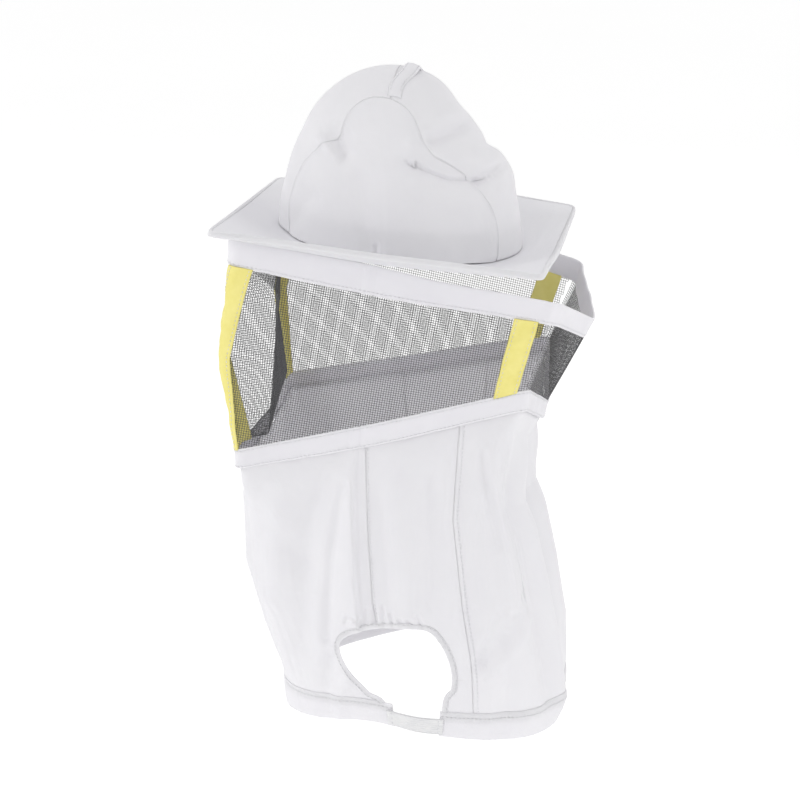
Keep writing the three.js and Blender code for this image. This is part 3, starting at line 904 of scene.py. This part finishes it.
def make_band(name, from_level, to_level, ripples, stitch_levels, rise=0.0):
    stations = np.linspace(0, TURN, 720, endpoint=False)
    down, thick = band_profile(28)
    levels = from_level + (to_level - from_level) * down
    middle = veil_points(stations[None, :], np.linspace(from_level, to_level, 12)[:, None])
    sign = outward_sign(middle, True)
    normals = sign * normals_of(middle, True)[6]
    centre = veil_points(stations[None, :], levels[:, None])
    wobble = band_wobble(stations, ripples)
    points = centre + normals[None] * (thick[:, None, None] * BAND / 2 + wobble[None, :, None])
    near_side = smoothstep(stations, 0.2, 1.0) * (1 - smoothstep(stations, 1.7, 2.4))
    points[..., 2] += rise * (1 - down)[:, None] * near_side[None, :]
    build = Build(name, [band_cotton, thread])
    faces = grid_faces(len(down) + 1, len(stations), closed=True) % points[..., 0].size
    if (normals_of(looped(points), True)[3] * normals).sum() < 0:
        faces = faces[:, ::-1]
    run = np.linspace(0, 1.0, len(stations))
    uv = np.stack(np.meshgrid(run, 0.04 * down), axis=-1)
    build.add(points, [faces], uv)
    for level in stitch_levels:
        line = veil_points(stations, level) + normals * wobble[:, None]
        wrapped = looped(normals)
        build.stitches(looped(line) + wrapped * BAND * 0.47, wrapped)
    return build.finish()


def band_wobble(stations, ripples):
    """Small waves and pleats of a band: each ripple is (station, width, height in mm)."""
    total = 0.0004 * np.sin(stations * 9.0) + 0.0003 * np.sin(stations * 23.0 + 1.0)
    for place, width, height in ripples:
        away = np.mod(stations - place + TURN / 2, TURN) - TURN / 2
        total = total + height / 1000 * np.exp(-(away / width) ** 2)
    return total


# ---- corner tapes ----
def make_corner_tape(name, corner, top_offset, low_offset):
    """Two plies of tape with the mesh between them. The offsets are distances along the mesh from
    the corner to the tape's middle, at its top and its bottom."""
    levels = np.linspace(MESH_TOP - 0.06, MESH_BOTTOM + 0.06, 60)
    share = np.clip((levels - MESH_TOP) / (MESH_BOTTOM - MESH_TOP), 0, 1) ** 0.75
    trial = corner + np.linspace(-0.45, 0.45, 241)
    trial_points = mesh_surface(trial[None, :], levels[:, None])
    steps = np.linalg.norm(np.diff(trial_points, axis=1), axis=-1)
    travelled = np.concatenate([np.zeros((len(levels), 1)), np.cumsum(steps, axis=1)], axis=1)
    travelled -= travelled[:, 120:121]
    across = np.linspace(-0.5, 0.5, 16)[None, :]
    wanted = (top_offset + (low_offset - top_offset) * share)[:, None] + across * TAPE_WIDTH
    stations = np.stack([np.interp(wanted[i], travelled[i], trial) for i in range(len(levels))])
    levels = levels[:, None]
    points = mesh_surface(stations, levels)
    sign = outward_sign(points)
    normals = sign * normals_of(points)
    ripple = 0.0005 * np.sin(levels * 9 + across * 4) + 0.0003 * np.sin(levels * 21)
    build = Build(name, [yellow, thread])
    outer = points + normals * (0.0016 + ripple)[..., None]
    build.shell(outer, TAPE, sign)
    build.shell(points - normals * 0.0011, TAPE, -sign, shift=0.0)
    facing = sign * normals_of(outer)
    for column in (2, -3):
        build.stitches(outer[:, column], facing[:, column], lift=0.0001)
    return build.finish()


# ---- cape ----
# Folds on the sides, X and Z, and on the front and back, Y and Z, in millimetres.
NEAR_FOLDS = [
    ([(-17, -306), (-20, -273), (-21, -246), (-23, -183), (-21, -157)], 12, 5.0, True),
    ([(-30, -190), (-42, -256), (-47, -330)], 6, -3.0, False),
    ([(-48, -180), (-60, -230), (-66, -290), (-70, -340)], 12, -3.5, False),
    ([(-84, -190), (-92, -240), (-96, -300)], 12, 3.0, False),
    ([(61, -145), (62, -166), (66, -225), (71, -282), (78, -352), (80, -400)], 3.0, -0.6, False),
    ([(54, -160), (56, -225), (62, -300)], 7, 1.8, False),
    ([(85, -162), (92, -200), (98, -240)], 6, -2.6, False),
    ([(108, -150), (112, -247), (126, -294)], 7, -3.2, False),
    ([(98, -160), (104, -230), (112, -300)], 7, 2.6, False),
    ([(10, -180), (18, -240), (24, -300)], 14, 2.4, False),
    ([(-2, -170), (0, -230), (8, -290)], 9, -1.8, False),
    ([(40, -180), (42, -240), (40, -290)], 9, -2.0, False),
    ([(72, -300), (80, -345)], 7, -2.4, False),
    ([(102, -306), (84, -346)], 6, -3.2, False),
    ([(140, -278), (122, -300), (90, -345)], 9, -3.4, False),
    ([(134, -302), (112, -332), (98, -354)], 9, 3.0, False),
    ([(-92, -236), (-68, -262)], 15, -3.4, False),
    ([(-100, -200), (-70, -215)], 14, -2.0, False),
    ([(104, -330), (108, -370), (104, -410)], 8, -3.0, False),
    ([(-44, -350), (-50, -380), (-44, -410)], 8, -2.2, False),
    ([(-30, -368), (-40, -392), (-36, -414)], 6, 1.8, False),
]
FAR_FOLDS = [
    ([(-24, -160), (-26, -220), (-18, -303)], 3.0, -4.0, False),
    ([(-40, -185), (-46, -256), (-40, -316)], 10, 3.5, False),
    ([(-78, -190), (-80, -240), (-72, -320)], 12, -3.5, False),
    ([(61, -150), (68, -225), (78, -352)], 2.6, -2.6, False),
    ([(90, -162), (96, -220), (104, -300)], 9, -3.0, False),
    ([(20, -180), (26, -240), (20, -300)], 12, 2.4, False),
    ([(0, -170), (4, -230), (6, -290)], 9, -2.4, False),
    ([(100, -330), (104, -370), (98, -410)], 8, 2.4, False),
    ([(-46, -350), (-52, -380), (-44, -410)], 8, -2.0, False),
]
FRONT_FOLDS = [
    ([(-60, -180), (-52, -260), (-46, -340), (-50, -410)], 11, -5.0, False),
    ([(-30, -180), (-24, -260), (-20, -400)], 12, 4.0, False),
    ([(6, -180), (4, -260), (12, -400)], 10, -5.0, False),
    ([(36, -180), (40, -280), (34, -400)], 12, 4.0, False),
    ([(66, -180), (62, -260), (68, -340)], 10, -4.5, False),
    ([(-90, -300), (-84, -360), (-80, -420)], 10, 3.0, False),
]
BACK_FOLDS = [
    ([(-66, -160), (-60, -240), (-58, -400)], 11, -5.0, False),
    ([(-36, -160), (-34, -280), (-28, -410)], 12, 4.0, False),
    ([(-4, -160), (-2, -280), (-8, -410)], 11, -5.5, False),
    ([(30, -160), (32, -280), (36, -410)], 12, 4.5, False),
    ([(60, -160), (64, -260), (60, -400)], 10, -4.0, False),
]
# The cloth gathered over each armhole.
GATHERS = [
    ([(x, -309 + 2 * np.sin(x)), (x * 0.9 - 1, -300 + 6 * np.cos(1.7 * x))], 1.8,
     (0.9 + 0.5 * np.sin(2.3 * x)) * (-1) ** i, False)
    for i, x in enumerate(range(-32, 40, 4))
]


def cape_points(station, level):
    """The veil's surface below the ring, with the cape's folds on it."""
    points = veil_points(station, level)
    sign = outward_sign(points)
    normals = sign * normals_of(points)
    side = points[..., [0, 2]]
    face = points[..., [1, 2]]
    near = smoothstep(-normals[..., 1], 0.25, 0.75)
    far = smoothstep(normals[..., 1], 0.25, 0.75)
    front = smoothstep(-normals[..., 0], 0.4, 0.9)
    back = smoothstep(normals[..., 0], 0.4, 0.9)
    height = near * (fold_height(side, NEAR_FOLDS) + fold_height(side, GATHERS))
    height = height + far * (fold_height(side, FAR_FOLDS) + fold_height(side, GATHERS))
    height = height + front * fold_height(face, FRONT_FOLDS) + back * fold_height(face, BACK_FOLDS)
    broad = CAPE_SWELL * np.sin(30 * points[..., 0] + 17 * points[..., 2] + 9 * points[..., 1])
    height = height + broad
    level = np.broadcast_to(level, points.shape[:2])
    tucked = -CAPE_TUCK * (1 - smoothstep(level, RING_BOTTOM, RING_BOTTOM + 0.5))
    free = smoothstep(level, RING_BOTTOM, RING_BOTTOM + 0.7)
    hemmed = 1 - 0.55 * smoothstep(level, HEM_TOP - 0.6, HEM_TOP + 0.2)
    moved = points + normals * (height * (0.2 + 0.8 * free) * hemmed + tucked)[..., None]
    drawn_in = smoothstep(level, 4.0, 4.25) * (1 - smoothstep(level, 4.7, 5.4))
    moved[..., 0] -= BACK_TUCK * drawn_in * smoothstep(points[..., 0], 0.07, 0.11)
    return moved


def spline(points, count):
    """A smooth line through the points, Catmull-Rom."""
    padded = np.concatenate([points[:1], points, points[-1:]])
    place = np.linspace(0, len(points) - 1, count)
    index = np.minimum(place.astype(int), len(points) - 2)
    t = (place - index)[:, None]
    p0, p1, p2, p3 = (padded[index + i] for i in range(4))
    return 0.5 * (2 * p1 + (p2 - p0) * t + (2 * p0 - 5 * p1 + 4 * p2 - p3) * t ** 2
                  + (3 * p1 - p0 - 3 * p2 + p3) * t ** 3)


ARMHOLE_LINE = spline(ARMHOLE, 260)
ARMHOLE_TAPE_END = -0.3935  # the tape stops at this height, just under the hems


def armhole_distance(places):
    """Signed distance to the armhole's edge, negative inside, and the nearest point on the edge."""
    spots = places.reshape(-1, 2)
    start, end = ARMHOLE_LINE[:-1], ARMHOLE_LINE[1:]
    along = end - start
    best = np.full(len(spots), 1e9)
    nearest = np.zeros_like(spots)
    inside = np.zeros(len(spots), dtype=bool)
    for a, d, b in zip(start, along, end):
        share = np.clip(((spots - a) @ d) / max(d @ d, 1e-12), 0, 1)
        foot = a + share[:, None] * d
        distance = np.linalg.norm(spots - foot, axis=1)
        closer = distance < best
        best = np.where(closer, distance, best)
        nearest[closer] = foot[closer]
        if a[1] != b[1]:
            crosses = (a[1] > spots[:, 1]) != (b[1] > spots[:, 1])
            inside ^= crosses & (spots[:, 0] < a[0] + (spots[:, 1] - a[1]) / (b[1] - a[1]) * (b[0] - a[0]))
    signed = np.where(inside, -best, best)
    return signed.reshape(places.shape[:-1]), nearest.reshape(places.shape)


def cut_armhole(points):
    """Marks the points outside the armhole, and draws the first ones inside it out to its edge."""
    signed, nearest = armhole_distance(points[..., [0, 2]])
    keep = signed > 0
    moved = points.copy()
    close = ~keep
    moved[..., 0] = np.where(close, nearest[..., 0], points[..., 0])
    moved[..., 2] = np.where(close, nearest[..., 1], points[..., 2])
    return moved, keep


def make_cape_panel(name, from_station, to_station, columns, seams):
    """A panel of the cape and the grid it was made from; seams are the columns with stitches."""
    stations = np.linspace(from_station, to_station, columns)[None, :]
    levels = np.linspace(RING_BOTTOM - 0.25, HEM_TOP + 0.25, 190)[:, None]
    points = cape_points(stations, levels)
    sign = outward_sign(points)
    moved, keep = cut_armhole(points)
    build = Build(name, [cotton, thread])
    build.shell(moved, CLOTH, sign, keep=keep)
    facing = sign * normals_of(points)
    for column in seams:
        clear = keep[:, column] & (levels[:, 0] > RING_BOTTOM) & (levels[:, 0] < HEM_TOP)
        if clear.sum() > 4:
            build.stitches(points[clear, column], facing[clear, column])
    return build.finish(), points, facing


def nearest_on(places, points, normals):
    """Points and normals on a cape grid nearest in X and Z, each the mean of a few."""
    flat, facing = points.reshape(-1, 3), normals.reshape(-1, 3)
    found, turned = [], []
    for place in places:
        distance = ((flat[:, [0, 2]] - place) ** 2).sum(axis=1)
        pick = np.argpartition(distance, 8)[:8]
        weight = 1 / (distance[pick] + 1e-7)
        weight /= weight.sum()
        found.append([place[0], (flat[pick, 1] * weight).sum(), place[1]])
        turned.append((facing[pick] * weight[:, None]).sum(axis=0))
    return np.array(found), normalized(np.array(turned))


def make_armhole_binding(name, side, surface, facing):
    """Bias tape folded over the armhole's edge: a flat rounded profile swept along it."""
    line = ARMHOLE_LINE[ARMHOLE_LINE[:, 1] > ARMHOLE_TAPE_END]
    chosen = (surface[..., 1] * side > 0.04)
    edge, normals = nearest_on(line, surface[chosen], facing[chosen])
    for _ in range(3):
        edge[1:-1, 1] = (edge[:-2, 1] + 2 * edge[1:-1, 1] + edge[2:, 1]) / 4
    ahead = normalized(np.gradient(edge, axis=0))
    away = normalized(np.cross(ahead, normals))
    probe = (edge + away * 0.003)[:, [0, 2]]
    away *= np.sign(armhole_distance(probe)[0])[:, None]
    turn = np.linspace(0, 2 * np.pi, 16, endpoint=False)
    rounded = np.sign(np.cos(turn)) * np.abs(np.cos(turn)) ** 0.5
    across = ARMHOLE_TAPE_WIDTH / 2 * (1 - rounded) - 0.001
    thick = ARMHOLE_TAPE_HALF * np.sign(np.sin(turn)) * np.abs(np.sin(turn)) ** 0.6
    points = edge[None] + across[:, None, None] * away[None] + thick[:, None, None] * normals[None]
    run = np.linspace(0, 0.26, len(edge))
    uv = np.stack(np.meshgrid(run, across), axis=-1)
    build = Build(name, [band_cotton, thread])
    build.add(points, swept_faces(points, normals, 4), uv)
    row = edge + away * 0.0032 + normals * ARMHOLE_TAPE_HALF * 0.95
    build.stitches(row, normals, lift=0.0001)
    return build.finish()


def make_hem(name, from_station, to_station):
    """The turned-up edge of a bib, with a row of stitching near its top."""
    stations = np.linspace(from_station, to_station, 300)
    down, thick = band_profile(24)
    levels = HEM_TOP + (HEM_BOTTOM - HEM_TOP) * down
    surface = cape_points(stations[None, :], np.linspace(HEM_TOP - 0.1, HEM_BOTTOM - 0.001, 12)[:, None])
    sign = outward_sign(surface)
    normals = sign * normals_of(surface)[6]
    heights = np.linspace(HEM_TOP, HEM_BOTTOM, 12)
    centre = np.stack([points_at(surface[:, i], heights, levels) for i in range(len(stations))], axis=1)
    points = centre + normals[None] * (thick[:, None] * HEM_HALF + HEM_LIFT)[..., None]
    run = np.linspace(0, 0.4, len(stations))
    uv = np.stack(np.meshgrid(run, 0.04 * down), axis=-1)
    build = Build(name, [cotton, thread])
    build.add(points, swept_faces(points, normals, 5), uv)
    build.stitches(surface[1] + normals * HEM_HALF, normals, lift=0.0001)
    return build.finish()


def make_strap(name, side):
    """A flat ribbed elastic between the two hems, a little slack."""
    shares = np.linspace(0, 1, 60)
    front, back = FRONT_HEM_END - 0.05, BACK_HEM_END + 0.03
    stations = front + (back - front) * shares
    if side > 0:
        stations = TURN - stations
    levels = np.linspace(STRAP_TOP, STRAP_BOTTOM, 12)[:, None]
    points = veil_points(stations[None, :], levels)
    bow = np.sin(np.pi * shares)[None, :]
    points[..., 2] -= STRAP_SAG * bow
    points[..., 1] += side * (STRAP_OUT + 0.001 * bow)
    sign = outward_sign(points)
    build = Build(name, [elastic, thread])
    build.shell(points, STRAP_THICKNESS, sign, shift=STRAP_THICKNESS / 2)
    facing = sign * normals_of(points)
    for column in (5, -6):
        build.stitches(points[:, column], facing[:, column], lift=0.0008)
    return build.finish()


# ---- pieces ----
def place_piece(obj, node, body):
    """A piece that takes a node's place and rides on a body."""
    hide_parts(node)
    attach(obj, body)


place_piece(make_brim(), "brim", "hat")
place_piece(make_brim_binding(), "brim_binding", "hat")
place_piece(make_sweatband(), "sweatband", "hat")
place_piece(make_crown_strip("crown_strip_front_cloth", True), "crown_strip_front", "hat")
place_piece(make_crown_strip("crown_strip_back_cloth", False), "crown_strip_back", "hat")
place_piece(make_crown_side("crown_side_left_cloth", -1), "crown_side_left", "hat")
place_piece(make_crown_side("crown_side_right_cloth", 1), "crown_side_right", "hat")
place_piece(make_crown_tape(), "crown_top_tape", "hat")

TOP_RIPPLES = [(1.84, 0.018, 0.8), (1.90, 0.015, -0.5), (2.96, 0.03, 0.9), (3.35, 0.05, 0.9)]
BOTTOM_RIPPLES = [(1.83, 0.022, 0.9), (1.88, 0.015, -0.5), (3.5, 0.05, 0.8), (6.2, 0.03, 0.9)]
top_band = make_band("top_band_tape", TOP_EDGE, MESH_TOP, TOP_RIPPLES, [0.86], rise=0.0045)
bottom_band = make_band("bottom_band_tape", MESH_BOTTOM, RING_BOTTOM, BOTTOM_RIPPLES, [3.12, 3.9])
place_piece(top_band, "top_band", "veil")
place_piece(bottom_band, "bottom_band", "veil")
mesh_front = make_even_mesh("mesh_front_wires", -FRONT_CORNER, FRONT_CORNER)
mesh_back = make_even_mesh("mesh_back_wires", BACK_CORNER, TURN - BACK_CORNER)
place_piece(mesh_front, "mesh_front", "veil")
place_piece(mesh_back, "mesh_back", "veil")
place_piece(make_grained_mesh("mesh_left_wires", -1), "mesh_left", "veil")
place_piece(make_grained_mesh("mesh_right_wires", 1), "mesh_right", "veil")
for hand, turn in (("left", 1), ("right", -1)):
    front_name, back_name = f"corner_tape_front_{hand}_twill", f"corner_tape_back_{hand}_twill"
    front_tape = make_corner_tape(front_name, turn * FRONT_CORNER, turn * 0.009, -turn * 0.008)
    back_tape = make_corner_tape(back_name, turn * BACK_CORNER, -turn * 0.0215, -turn * 0.0175)
    place_piece(front_tape, f"corner_tape_front_{hand}", "veil")
    place_piece(back_tape, f"corner_tape_back_{hand}", "veil")

# Node, first and last station, columns of the grid, columns with stitches, and flat size.
cape_grids = []
for node, from_station, to_station, columns, seams, flat in (
    ("cape_front", -CAPE_FRONT_SEAM, CAPE_FRONT_SEAM, 255, (), (0.50, 0.21)),
    ("cape_back", CAPE_BACK_SEAM, TURN - CAPE_BACK_SEAM, 250, (3, -4), (0.36, 0.24)),
    ("cape_side_left", CAPE_FRONT_SEAM, CAPE_BACK_SEAM, 90, (2,), (0.08, 0.26)),
    ("cape_side_right", TURN - CAPE_BACK_SEAM, TURN - CAPE_FRONT_SEAM, 90, (-3,), (0.08, 0.26)),
):
    panel, points, facing = make_cape_panel(f"{node}_cloth", from_station, to_station, columns, seams)
    cape_grids.append((points.reshape(-1, 3), facing.reshape(-1, 3)))
    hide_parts(node)
    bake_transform(panel)

surface = np.concatenate([points for points, _ in cape_grids])
facing = np.concatenate([normals for _, normals in cape_grids])
for hand, side in (("left", -1), ("right", 1)):
    binding = make_armhole_binding(f"armhole_binding_{hand}_tape", side, surface, facing)
    place_piece(binding, f"armhole_binding_{hand}", "hem")
    place_piece(make_strap(f"elastic_strap_{hand}_webbing", side), f"elastic_strap_{hand}", "hem")
place_piece(make_hem("hem_front_cloth", -FRONT_HEM_END, FRONT_HEM_END), "hem_front", "hem")
place_piece(make_hem("hem_back_cloth", BACK_HEM_END, TURN - BACK_HEM_END), "hem_back", "hem")


# ---- studio ----
FLOOR_HEIGHT, FLOOR_REACH = -0.75, 40.0
CAMERA_AZIMUTH, CAMERA_ELEVATION = np.radians(9), np.radians(17)
CAMERA_DISTANCE, CAMERA_LENS = 2.21, 117
CAMERA_DROP = 0.1394  # how far below the frame's origin the camera aims
# Lights: name, place, where it faces, width, and power in watts.
LIGHTS = (
    ("left", (-2.2, -0.7, 1.2), (0, 0, -0.1), 0.8, 10),
    ("right", (2.3, -0.5, 1.0), (0, 0, -0.1), 1.0, 7),
    ("front", (-0.5, -2.6, 1.2), (0, 0, 0.08), 0.9, 8),
    ("back", (0.4, 2.6, 1.6), (0, 0, -0.1), 1.8, 6),
)
FLOOR_GLOW, WORLD_STRENGTH = 0.36, 0.78


def add_light(name, location, target, size, power):
    """A round soft light that faces its target."""
    light = bpy.data.lights.new(name, "AREA")
    light.shape = "DISK"
    light.size = size
    light.energy = power
    obj = bpy.data.objects.new(name, light)
    obj.location = location
    obj.rotation_euler = (Vector(target) - Vector(location)).to_track_quat("-Z", "Y").to_euler()
    bpy.context.scene.collection.objects.link(obj)


def add_floor():
    """A pale floor that glows a little, so that it stays white."""
    sides = [(-1, -1), (1, -1), (1, 1), (-1, 1)]
    corners = np.array([[x * FLOOR_REACH, y * FLOOR_REACH, FLOOR_HEIGHT] for x, y in sides])
    material, shader = new_material("pale_floor", (0.8, 0.8, 0.8), 0.9)
    shader.inputs["Emission Color"].default_value = (1, 1, 1, 1)
    shader.inputs["Emission Strength"].default_value = FLOOR_GLOW
    vary_color(material, shader, (0.79, 0.79, 0.79), (0.81, 0.81, 0.81), 0.5)
    floor = make_object("floor", corners, [[0, 1, 2, 3]], corners[:, :2], [material])


def add_world():
    """Even white light from all round."""
    world = bpy.data.worlds.new("studio")
    world.use_nodes = True
    background = world.node_tree.nodes["Background"]
    background.inputs["Color"].default_value = (1, 1, 1, 1)
    background.inputs["Strength"].default_value = WORLD_STRENGTH
    bpy.context.scene.world = world


def add_camera():
    """The camera looks from the wearer's left, a little from behind and above."""
    level, rise = np.cos(CAMERA_ELEVATION), np.sin(CAMERA_ELEVATION)
    back = np.array([np.sin(CAMERA_AZIMUTH) * level, -np.cos(CAMERA_AZIMUTH) * level, rise])
    right = np.array([np.cos(CAMERA_AZIMUTH), np.sin(CAMERA_AZIMUTH), 0])
    up = np.cross(back, right)
    camera_data = bpy.data.cameras.new("camera")
    camera_data.sensor_width = 36
    camera_data.lens = CAMERA_LENS
    camera = bpy.data.objects.new("camera", camera_data)
    camera.location = CAMERA_DISTANCE * back - CAMERA_DROP * up
    camera.rotation_euler = Vector(-back).to_track_quat("-Z", "Y").to_euler()
    bpy.context.scene.collection.objects.link(camera)
    bpy.context.scene.camera = camera


add_camera()
add_floor()
add_world()
for light in LIGHTS:
    add_light(*light)
bpy.context.scene.view_settings.view_transform = "Standard"
